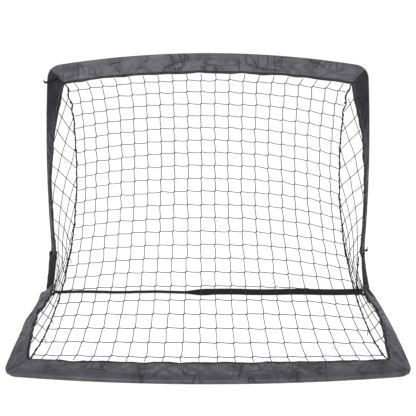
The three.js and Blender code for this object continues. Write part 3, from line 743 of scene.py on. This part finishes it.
side_stations = [(c, c + (h - c) * lerp(GATHER, 1, smooth((SIDE_SLEEVE_Y - c[1]) / GATHER_REACH)))
                 for c, h in stretch(side_point, side_hem, SIDE_SLEEVE_Y, CORNER_SEAM_FRONT,
                                     SIDE_SLEEVE_Y, CORNER_SEAM_FRONT)]
corner_stations = stretch(side_point, side_hem, CORNER_SEAM_BACK, REAR_BEND_Y + CLEAR,
                          CORNER_SEAM_BACK, REAR_HEM[1] + HEM_START) + side_mitre[::-1]


HEM_FACES = 5 # the faces round the outline, on each side, that make up the hem and take its painted-shade cloth
DARK_STATIONS = 20 # of the right side sleeve, from the knee
LEFT_FLARE, REAR_SLUMP = 13.0, 5.0


def add_sleeve(name, stations, normal, seed, fold, mitres, rough=1.0, mirrored=False,
               cloth=FABRIC, dark_end=0, flare=0.0, slump=0.0):
    """Makes a sleeve, its hem's stitches and the ridges of its end seams, and hides its CAD solid."""
    if mirrored:
        stations = flip(stations)
    shape, rings = sleeve(stations, normal, seed, rough, flare, slump)
    piece = shape.make(name + "_cloth", cloth)
    piece.data.materials.append(HEM_SHADED_FABRIC)
    piece.data.materials.append(GUSSET_CLOTH)
    around = rings.shape[1]
    walls = (len(rings) - 1) * around
    # material 1 paints shade along the hem faces; material 2 is the gusset cloth on the first dark_end
    # stations
    for k, face in enumerate(piece.data.polygons):
        if k < dark_end * around:
            face.material_index = 2
        elif k < walls and (k % around < HEM_FACES or k % around >= around - HEM_FACES - 1):
            face.material_index = 1
    fold(piece)
    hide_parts(name)
    rows = stitches(rings, HEM_GROOVE).make(name + "_stitches", THREAD)
    fold(rows)
    for i in mitres:
        ridge = piping(rings[i]).make(f"{name}_seam_{abs(i)}", BINDING)
        fold(ridge)
    return rings


def fold_base(piece):
    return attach(piece, BASE)


add_sleeve("crossbar_sleeve", crossbar_stations, Y_AXIS, 100, fold_front, (0, -1))
add_sleeve("rear_bar_sleeve", rear_stations, Z_AXIS, 200, fold_base, (0, -1), slump=REAR_SLUMP)
for hand, mirrored, seed in (("right", False, 300), ("left", True, 400)):
    # the posts take the darker cloth with painted shade
    add_sleeve("post_sleeve_" + hand, post_stations, Y_AXIS, seed, fold_front, (-1,), 0.9, mirrored,
               POST_SHADED_FABRIC)
    add_sleeve("side_sleeve_" + hand, side_stations, Z_AXIS, seed + 20, fold_side, (0, -1), 1.15, mirrored,
               dark_end=0 if mirrored else DARK_STATIONS, flare=LEFT_FLARE if mirrored else 0.0)
    add_sleeve("rear_corner_sleeve_" + hand, corner_stations, Z_AXIS, seed + 40, fold_side, (), 1.1,
               mirrored)

# ---------- back net ----------

TWINE_R = 1.35
TWINE_SIDES = 6
COLUMNS, ROWS = 21, 22
TOP_GAP, REAR_GAP = 24.0, 20.0
ROW_GROWTH = 1.4 # the last row's pitch against the first's
EDGE_CELL = 0.32 # how much narrower the cells next to the seams are
EDGE_FADE = 0.85
KNOT_HALF = 2.9
KNOT_EXIT = 0.8 # how far along a knot's dash its threads leave it
TOP_SPREAD_RIGHT, TOP_SPREAD_LEFT = 1.018, 1.006 # the columns' ends on the crossbar hem, past their knots


def curve_params(at, first, last, count, growth):
    """Parameters that cut the curve at(t) into growing lengths, leaving first and last mm at its ends."""
    ts = np.linspace(0, 1, 600)
    run = distance_along([at(t) for t in ts])
    share = np.r_[0, np.cumsum(np.linspace(1, growth, count - 1))]
    return np.interp(first + (run[-1] - last - first) * share / share[-1], run, ts)


row_params = curve_params(lambda t: back_point(0, t), TOP_GAP, REAR_GAP, ROWS, ROW_GROWTH)
cells = np.array([1 - EDGE_CELL * math.exp(-EDGE_FADE * min(j, COLUMNS - 1 - j)) for j in range(COLUMNS)])
column_at = np.r_[0, np.cumsum(cells)]
column_at = 2 * column_at / column_at[-1] - 1
chance = np.random.RandomState(7)


def slack(a, b, sag, way):
    """A thread from a to b that bows by sag along way."""
    ts = np.linspace(0, 1, 5)
    return np.array([lerp(a, b, t) + way * sag * 4 * t * (1 - t) for t in ts])


def knot(shape, centre, dash, normal, size=1.0):
    """A net knot: a thickened dash, wrapped by almost two turns of twine."""
    way = unit(dash)
    side = unit(np.cross(way, normal))
    half = np.linalg.norm(dash)
    shape.tube([centre - way * half * t for t in (-1.15, -0.5, 0.5, 1.15)],
               np.array([0.6, 1.75, 1.75, 0.6]) * size, 6)
    turns = np.linspace(-0.9, 0.9, 11) * 2 * math.pi
    coil = [centre + way * half * 0.62 * t / (2 * math.pi * 0.9)
            + (side * math.cos(t) + unit(normal) * math.sin(t)) * 1.75 * size for t in turns]
    shape.tube(coil, 0.85 * size, 5)


def back_frame(s, t):
    """A point of the back net with its right, up and outward directions."""
    step = 0.002
    right = unit(back_point(s + step, t) - back_point(s - step, t))
    up = unit(back_point(s, t - step) - back_point(s, t + step))
    return back_point(s, t), right, up, np.cross(right, up)


knots = {}
for i, t in enumerate(row_params):
    for j in range(COLUMNS + 1):
        s = column_at[j]
        droop = 0.011 * max(s, 0) ** 2 + 0.016 * max(s, 0) ** 5 + 0.011 * max(-s, 0) ** 4
        lean = droop * math.sin(math.pi * t) ** 0.7
        centre, right, up, out = back_frame(s * 0.998, clamp(t + lean))
        inner = 0 < j < COLUMNS
        if inner:
            centre = centre + right * chance.normal(0, 1.0) + up * chance.normal(0, 0.9)
        dash = (right * 0.64 + up * 0.77) * KNOT_HALF
        knots[i, j] = (centre, dash, right, up, out, inner)

twine, knot_shape = Shape(), Shape()
for i in range(ROWS):
    for j in range(COLUMNS + 1):
        centre, dash, right, up, out, inner = knots[i, j]
        if inner:
            knot(knot_shape, centre, dash, out)
        if j < COLUMNS:
            other, other_dash, _, _, _, other_inner = knots[i, j + 1]
            a = centre + dash * (KNOT_EXIT if inner else 0)
            b = other - other_dash * (KNOT_EXIT if other_inner else 0)
            twine.tube(slack(a, b, chance.normal(0.9, 0.8), -up), TWINE_R, TWINE_SIDES)
        if 0 < j < COLUMNS and i + 1 < ROWS:
            other, other_dash = knots[i + 1, j][:2]
            twine.tube(slack(centre - dash * KNOT_EXIT, other + other_dash * KNOT_EXIT,
                             chance.normal(0.3, 0.7), right), TWINE_R, TWINE_SIDES)
for j in range(1, COLUMNS):
    s = column_at[j]
    top, bottom = knots[0, j], knots[ROWS - 1, j]
    at_top = back_point(s * (TOP_SPREAD_RIGHT if s > 0 else TOP_SPREAD_LEFT), 0.0015)
    at_bottom = back_point(s, 0.9985)
    twine.tube(slack(top[0] + top[1] * KNOT_EXIT, at_top, 0.8, top[2]), TWINE_R, TWINE_SIDES)
    twine.tube(slack(bottom[0] - bottom[1] * KNOT_EXIT, at_bottom, 0.8, bottom[2]), TWINE_R, TWINE_SIDES)

back_twine = twine.make("net_back_twine", TWINE)
back_knots = knot_shape.make("net_back_knots", TWINE)
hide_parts("net_back")
for piece in (back_twine, back_knots):
    fold_back(piece)

# ---------- side nets ----------

MESH_DOWN = (48.0, 14.0) # one bar of the side net: mm along the strip and towards the frame
MESH_UP = (-37.0, 33.0)
mid_params = np.linspace(SIDE_END, 1 - SIDE_END, 500)
mid_points = np.array([side_panel(0.5, v) for v in mid_params])
mid_run = distance_along(mid_points)
mid_width = np.array([np.linalg.norm(side_panel(1, v) - side_panel(0, v)) for v in mid_params])
SIDE_LENGTH = mid_run[-1]


def side_knot(p, q):
    """Knot (p, q) of the side net: its place along the strip and across it from the middle, in mm."""
    return p * MESH_DOWN[0] + q * MESH_UP[0], p * MESH_DOWN[1] + q * MESH_UP[1]


def on_panel(run, across):
    """The (u, v) of a place on the side net."""
    v = float(np.interp(run, mid_run, mid_params))
    width = float(np.interp(run, mid_run, mid_width))
    return 0.5 + across / max(width, 1.0), v


def side_thread(a, b):
    """Five (u, v) places along the part of a bar that lies inside the panel, or None."""
    ts = np.linspace(0, 1, 25)
    inside = []
    for t in ts:
        run, across = lerp(a[0], b[0], t), lerp(a[1], b[1], t)
        if not 0 <= run <= SIDE_LENGTH:
            inside.append(False)
            continue
        u, _ = on_panel(run, across)
        inside.append(0.0 <= u <= 1.0)
    if not any(inside):
        return None
    first, last = inside.index(True), len(inside) - 1 - inside[::-1].index(True)
    if last - first < 2:
        return None
    return [on_panel(lerp(a[0], b[0], t), lerp(a[1], b[1], t))
            for t in np.linspace(ts[first], ts[last], 5)]


# The side net is cut into strips, each with its own F. These are their ends, as shares of the seam.
STRIPS = [0.045, 0.15, 0.26, 0.36, 0.44, 0.50, 0.54, 0.58, 0.62, 0.67, 0.74, 0.83, 0.955]


def edge_share(v):
    """How far the side net's frame edge goes with the fold, before smoothstep."""
    p = edge_point(v)
    low, high = 0.515, 0.615
    if v <= low:
        return front_share(p)
    if v >= high:
        return side_share(p)
    return lerp(front_share(edge_point(low)), side_share(edge_point(high)), (v - low) / (high - low))


def strip_fit(v0, v1):
    """The straight-line F that suits the side net between v0 and v1, by least squares."""
    rows, values = [], []
    for v in np.linspace(v0, v1, 5):
        for u in np.linspace(0, 1, 5):
            p = side_panel(u, v)
            rows.append([p[1] / 100, p[2] / 100, 1])
            values.append(lerp(chord_share(seam_point(v)), edge_share(v), u))
    fit = np.linalg.lstsq(np.array(rows), np.array(values), rcond=1e-4)[0]
    return (0, fit[0] / 100, fit[1] / 100), fit[2]


SIDE_KNOT_SIZE = 0.85
SIDE_TWINE = 0.96 # the side nets' twine against the back net's
LATTICE_START = 20 # mm along the strip to knot (0, 0)
OUTSIDE, WIDEST = 80, 220 # how far past the strip's ends and middle a bar may start
for hand, mirrored, seed in (("right", 1, 11), ("left", -1, 12)):
    chance = np.random.RandomState(seed)
    shapes = [Shape() for _ in STRIPS[1:]]

    def strip_of(v):
        return min(max(int(np.searchsorted(STRIPS, v)) - 1, 0), len(shapes) - 1)

    bumps = {}

    def bumped(p, q):
        if (p, q) not in bumps:
            run, across = side_knot(p, q)
            bumps[p, q] = (run + chance.normal(0, 2.2) + LATTICE_START, across + chance.normal(0, 1.6))
        return bumps[p, q]

    for p in range(-10, 40):
        for q in range(-24, 14):
            a = bumped(p, q)
            if not (-OUTSIDE < a[0] < SIDE_LENGTH + OUTSIDE and abs(a[1]) < WIDEST):
                continue
            for other in ((p + 1, q), (p, q + 1)):
                uvs = side_thread(a, bumped(*other))
                if uvs is None:
                    continue
                path = np.array([side_panel(u, v) for u, v in uvs])
                path[1:-1] += np.array([0, 0, -1]) * chance.uniform(0, 1.6)
                shapes[strip_of(np.mean([v for _, v in uvs]))].tube(path, TWINE_R * SIDE_TWINE, TWINE_SIDES)
            if 0 <= a[0] <= SIDE_LENGTH:
                u, v = on_panel(*a)
                if 0.02 < u < 0.98:
                    here = side_panel(u, v)
                    right = unit(side_panel(u + 0.01, v) - side_panel(u - 0.01, v))
                    down = unit(side_panel(u, v + 0.004) - side_panel(u, v - 0.004))
                    dash = (right * 0.25 + down) * KNOT_HALF
                    knot(shapes[strip_of(v)], here, dash, np.cross(right, down), SIDE_KNOT_SIZE)
    for k, shape in enumerate(shapes):
        if not shape.count:
            continue
        if mirrored < 0:
            shape = shape.mirror()
        piece = shape.make(f"net_side_{hand}_{k + 1}", TWINE)
        blend_by(piece, *strip_fit(STRIPS[k], STRIPS[k + 1]))
        if k == 0:
            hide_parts("net_side_" + hand)

# ---------- seam cords ----------

CORD_R, LACING_R = 2.2, 1.1
LACING_TURNS = 23
BIG_KNOT, SMALL_KNOT = 1.9, 1.35
for hand, side, seed in (("right", 1, 21), ("left", -1, 22)):
    chance = np.random.RandomState(seed)
    ts = np.linspace(0.0, 1.0, 170)
    shape = Shape()

    def seam_at(t, side=side):
        return seam_point(t) * [side, 1, 1]

    wobble = np.cumsum(chance.normal(0, 0.45, (len(ts), 2)), axis=0)
    wobble = smoothed(wobble - smoothed(wobble, 60), 4)
    main = np.array([seam_at(t) for t in ts])
    main[:, 0] += wobble[:, 0] * 1.4
    main[:, 1] += wobble[:, 1]
    main[:, 0] += 6 * np.sin(2 * math.pi * ts / 0.05) * smooth(1 - ts / 0.16) * smooth(ts / 0.02)
    shape.tube(main, CORD_R, 7)
    laps = np.linspace(0.004, 0.996, 420)
    ways = unit(np.gradient(np.array([seam_at(t) for t in laps]), axis=0))
    coil = []
    for t, way in zip(laps, ways):
        sideways = unit(vec(1, 0, 0) - way * way[0])
        out = np.cross(way, sideways)
        turn = 2 * math.pi * t * LACING_TURNS + 1.2 * math.sin(t * 60)
        spread = 2.0 + 2.2 * float(noise(t * 40, 0, seed)) ** 2
        base = np.array([np.interp(t, ts, main[:, k]) for k in range(3)])
        coil.append(base + (sideways * math.cos(turn) + out * math.sin(turn)) * spread)
    shape.tube(coil, LACING_R, 6)
    for k, t in enumerate(row_params):
        centre = seam_at(t)
        way = unit(seam_at(min(t + 0.01, 1)) - seam_at(max(t - 0.01, 0)))
        size = BIG_KNOT if k % 4 == 1 else SMALL_KNOT
        knot(shape, centre, way * KNOT_HALF * 1.1, vec(side * 0.5, -0.8, 0.4), size)
    for t, reach in ((0.62, 9), (0.86, 8), (0.93, 14)) if side < 0 else ((0.5, 7), (0.9, 9)):
        centre = seam_at(t)
        away = unit(vec(-side * 0.9, -0.2, -0.45))
        loop = spline([centre, centre + away * reach * 0.6 + vec(0, 0, 6), centre + away * reach,
                       centre + away * reach * 0.8 - vec(0, 0, 9)], 14)
        shape.tube(loop, LACING_R, 6)
    piece = shape.make(f"seam_lacing_{hand}", CORD)
    fold_back(piece)
    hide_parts("seam_cord_" + hand)

# ---------- straps ----------


RIPPLE_SEED = 5
STRAP_THICK = 1.6


def strap(points, width, wide, name, replaced):
    """A webbing strap along points, with rounded edges. wide(i) is its width's direction."""
    points = np.asarray(points, float)
    ways = unit(np.gradient(points, axis=0))
    run = distance_along(points)
    w, h = width / 2, STRAP_THICK / 2
    outline = [(w, 0), (w - 0.5, h * 0.8), (w - 2.2, h), (w * 0.4, h * 0.9), (-w * 0.4, h * 0.9),
               (-w + 2.2, h), (-w + 0.5, h * 0.8), (-w, 0)]
    outline = outline + [(a, -b) for a, b in outline[-2:0:-1]]
    rings = []
    for i, centre in enumerate(points):
        across = np.asarray(wide(i), float)
        across = unit(across - ways[i] * (across @ ways[i]))
        up = np.cross(ways[i], across)
        ripple = (noise(run[i] / 24, 0, RIPPLE_SEED) - 0.5) * 0.8
        rings.append([centre + across * a + up * (b + ripple) for a, b in outline])
    rings = np.array(rings)
    shape = Shape()
    shape.grid(rings, run * MM, distance_along(np.array([*outline, outline[0]])) * MM)
    piece = shape.make(name, WEBBING)
    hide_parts(replaced)
    return piece


STRAP_END_X, STRAP_Y, STRAP_Z, STRAP_WIDE = 582.5, -44, 13, 25
TURN_FROM_X, TURN_REACH = -95, 125
xs = np.linspace(-STRAP_END_X, STRAP_END_X, 300)
turned = math.pi / 2 * smooth((xs - TURN_FROM_X) / TURN_REACH)
strap_line = [vec(x, STRAP_Y + 0.8 * math.sin(x / 70), STRAP_Z + 1.4 * math.sin(x / 43) * (abs(x) < 560))
              for x in xs]
goal_line = strap(strap_line, STRAP_WIDE, lambda i: vec(0, math.cos(turned[i]), math.sin(turned[i])),
                  "goal_line_webbing", "goal_line_strap")
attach(goal_line, BASE)

KNEE_STRAP_WIDE, KNEE_STRAP_STILL_Z, KNEE_STRAP_BEND = 20, 20, 193
KNEE_ROUTE = [vec(558, -52, 157), vec(562.5, -50, 105), vec(568, -47, 60), vec(574, -44, 32),
              vec(575, -44, 20), vec(576, -44, 9), vec(584, -44, 3), vec(597, -44, 3)]
RIGHT_KNEE_ROUTE = [vec(557, -52, 157), vec(556, -50, 105), vec(556, -47, 60), vec(560, -44, 32),
                    vec(566, -44, 19), vec(575, -44, 9), vec(584, -44, 3), vec(597, -44, 3)]
for hand, side, way_down, turn in (("right", 1, RIGHT_KNEE_ROUTE, 0.42), ("left", -1, KNEE_ROUTE, 0.16)):
    route = spline(way_down, 60) * [side, 1, 1]
    piece = strap(route, KNEE_STRAP_WIDE, lambda i: vec(side * turn, 1, 0), "knee_webbing_" + hand,
                  "knee_strap_" + hand)
    blend_by(piece, (0, 0, 1 / KNEE_STRAP_BEND), -KNEE_STRAP_STILL_Z / KNEE_STRAP_BEND)

# ---------- knee gussets ----------


GUSSET_TOP_Z, GUSSET_LOW_Z = 159, 8
GUSSET_ROWS, GUSSET_ROUND = 40, 28
COVER_STILL_Z, COVER_BEND = 4, 52


def gusset(side):
    """The woven cover over a knee's hinge, open at both ends, with a flat band towards the net."""
    stations = np.linspace(GUSSET_TOP_Z, GUSSET_LOW_Z, GUSSET_ROWS)
    seed = 61 if side < 0 else 62
    rings = []
    for z in stations:
        down = (GUSSET_TOP_Z - z) / (GUSSET_TOP_Z - GUSSET_LOW_Z)
        if side < 0:
            wide = lerp(13.4, 12.2, down)
            reach, turn = lerp(44, 28, down), math.radians(lerp(23, 34, down))
        else:
            wide = lerp(6.2, 11.5, down ** 1.5)
            reach, turn = lerp(40, 26, down), math.radians(lerp(8, 23, down))
        wide = max(wide, 9.4 - abs(z - 22) * 0.05)
        centre = post_point(max(z, 14)) + vec(0, 0, z - max(z, 14))
        along = vec(-math.sin(turn), -math.cos(turn), 0)
        across = vec(math.cos(turn), -math.sin(turn), 0)
        ring = []
        for k in range(GUSSET_ROUND):
            a = 2 * math.pi * k / GUSSET_ROUND
            back = max(0.0, math.cos(a))
            x = math.cos(a) * (12.2 if math.cos(a) < 0 else reach)
            y = math.sin(a) * wide * (1 - 0.72 * back ** 1.4)
            crease = creases((z + 14 * math.sin(a)) / 26, k / 5, seed, 4) * 1.2
            crease += (float(noise(z / 15, k / 4, seed + 1)) - 0.5) * 1.6
            ring.append(centre + along * x + across * (y + math.copysign(crease, math.sin(a))))
        ring = np.array(ring)
        ring[:, 2] = np.maximum(ring[:, 2], 1.2)
        rings.append(ring * [side, 1, 1])
    rings = np.array(rings)
    if side > 0:
        rings = rings[:, ::-1]
    shape = Shape()
    shape.grid(rings, np.linspace(0, 0.151, GUSSET_ROWS), np.linspace(0, 0.12, GUSSET_ROUND + 1))
    for ring in (rings[1], rings[3]):
        loop = np.vstack([ring, ring[:2]])
        shape.tube(loop, 0.8, 5)
    return shape


for hand, side in (("right", 1), ("left", -1)):
    piece = gusset(side).make("knee_cover_" + hand, GUSSET_CLOTH)
    blend_by(piece, (0, 0, 1 / COVER_BEND), -COVER_STILL_Z / COVER_BEND)
    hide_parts("knee_gusset_" + hand)

# ---------- corner tie and drawcord knot ----------

TIE_WIDE, TIE_BELOW_BEND = 8, 14
KNOT_Z = 164
z = TOP_BEND_Z - TIE_BELOW_BEND
centre = post_point(z)
along = unit(post_hem(z) - centre)
across = unit(np.cross(along, Z_AXIS))
if across[1] > 0:
    across = -across
route = [[-21, 5, 12], [-13, 9.5, 8], [-4, 12, 8], [8, 11, 12], [22, 7.5, 20], [38, 6, 30]]
tie_points = [(centre + along * a + across * b) * [1, 1, 0] + vec(0, 0, z + lift) for a, b, lift in route]
tie_line = spline(tie_points, 40) * [-1, 1, 1]
tie = strap(tie_line, TIE_WIDE, lambda i: Z_AXIS, "corner_tie_webbing", "corner_tie_left")
fold_front(tie)

ball = Shape()
ball_centre = vec(post_x(KNOT_Z) + POCKET_R + 5.8, 0, KNOT_Z)
for phase, lean in ((0.0, 0.5), (1.1, -0.6), (2.2, 0.1)):
    turns = np.linspace(0, 2.1 * math.pi, 26)
    loop = [ball_centre + 3.4 * vec(math.cos(t + phase), math.sin(t + phase) * math.cos(lean),
                                    math.sin(t + phase) * math.sin(lean) + 0.5 * math.cos(2 * t))
            for t in turns]
    ball.tube(loop, 1.9, 7)
loose_end = [ball_centre + vec(*step) for step in ((0, 0, 3), (3.5, -1, 8), (3, -2, 13))]
ball.tube(spline(loose_end, 8), 1.5, 6)
drawcord = ball.make("drawcord_knot", CORD)
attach(drawcord, FRONT)
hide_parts("sleeve_knot_right")

# ---------- the CAD nodes that stay ----------

for name, node in frame["nodes"].items():
    if node.hide_render:
        continue
    node.data.materials.clear()
    node.data.materials.append(ROD if "rod" in name else STEEL)

# ---------- camera, floor and light ----------

FOCAL_PX, IMAGE_PX, SENSOR = 744.0, 416.0, 36.0
camera_data = bpy.data.cameras.new("camera")
camera_data.sensor_width = SENSOR
camera_data.lens = SENSOR * FOCAL_PX / IMAGE_PX
camera = bpy.data.objects.new("camera", camera_data)
CAMERA_BACK, CAMERA_HIGH, CAMERA_PITCH = 2635.2, 1125.6, 16.8
camera.location = place(vec(0, -CAMERA_BACK, CAMERA_HIGH))
camera.rotation_euler = (math.radians(90 - CAMERA_PITCH), 0, 0)
bpy.context.scene.collection.objects.link(camera)
bpy.context.scene.camera = camera

floor_mesh = bpy.data.meshes.new("floor")
SPAN = 160.0 # metres
floor_mesh.from_pydata([(-SPAN, -SPAN, 0), (SPAN, -SPAN, 0), (SPAN, SPAN, 0), (-SPAN, SPAN, 0)], [],
                       [(0, 1, 2, 3)])
floor = bpy.data.objects.new("floor", floor_mesh)
floor.location.z = -0.0005
pale = Nodes("floor_pale", Base_Color=(0.22, 0.22, 0.22, 1), Roughness=0.95, Specular_IOR_Level=0.05,
             Emission_Color=(1, 1, 1, 1), Emission_Strength=0.93)
floor_mesh.materials.append(pale.material)
bpy.context.scene.collection.objects.link(floor)

# A white dome that only the camera sees, so that low views have no horizon. It gives no light.
BACKDROP = 40.0 # metres
backdrop_mesh = bpy.data.meshes.new("backdrop")
dome = bmesh.new()
bmesh.ops.create_uvsphere(dome, u_segments=48, v_segments=24, radius=BACKDROP)
dome.to_mesh(backdrop_mesh)
dome.free()
backdrop = bpy.data.objects.new("backdrop", backdrop_mesh)
white = Nodes("backdrop_white", Base_Color=(0, 0, 0, 1), Roughness=1.0, Specular_IOR_Level=0.0,
              Emission_Color=(1, 1, 1, 1), Emission_Strength=1.05)
backdrop_mesh.materials.append(white.material)
for ray in ("diffuse", "glossy", "transmission", "shadow", "volume_scatter"):
    setattr(backdrop, "visible_" + ray, False)
bpy.context.scene.collection.objects.link(backdrop)

bpy.context.scene.view_settings.view_transform = "Standard"
world = bpy.data.worlds.new("studio")
world.use_nodes = True
world.node_tree.nodes["Background"].inputs["Color"].default_value = (1, 1, 1, 1)
world.node_tree.nodes["Background"].inputs["Strength"].default_value = 0.42
bpy.context.scene.world = world


def area_light(name, at, aim, size, power):
    data = bpy.data.lights.new(name, "AREA")
    data.size, data.energy = size, power
    light = bpy.data.objects.new(name, data)
    light.location = at
    way = np.array(aim, float) - np.array(at, float)
    yaw, pitch = math.atan2(way[0], way[1]), math.atan2(way[2], math.hypot(way[0], way[1]))
    light.rotation_euler = (math.pi / 2 + pitch, 0, -yaw)
    bpy.context.scene.collection.objects.link(light)


area_light("key", (-0.9, -2.3, 3.1), (0, -0.1, 0.4), 0.9, 120)
area_light("fill", (2.4, -1.2, 2.2), (0, 0, 0.4), 1.6, 22)
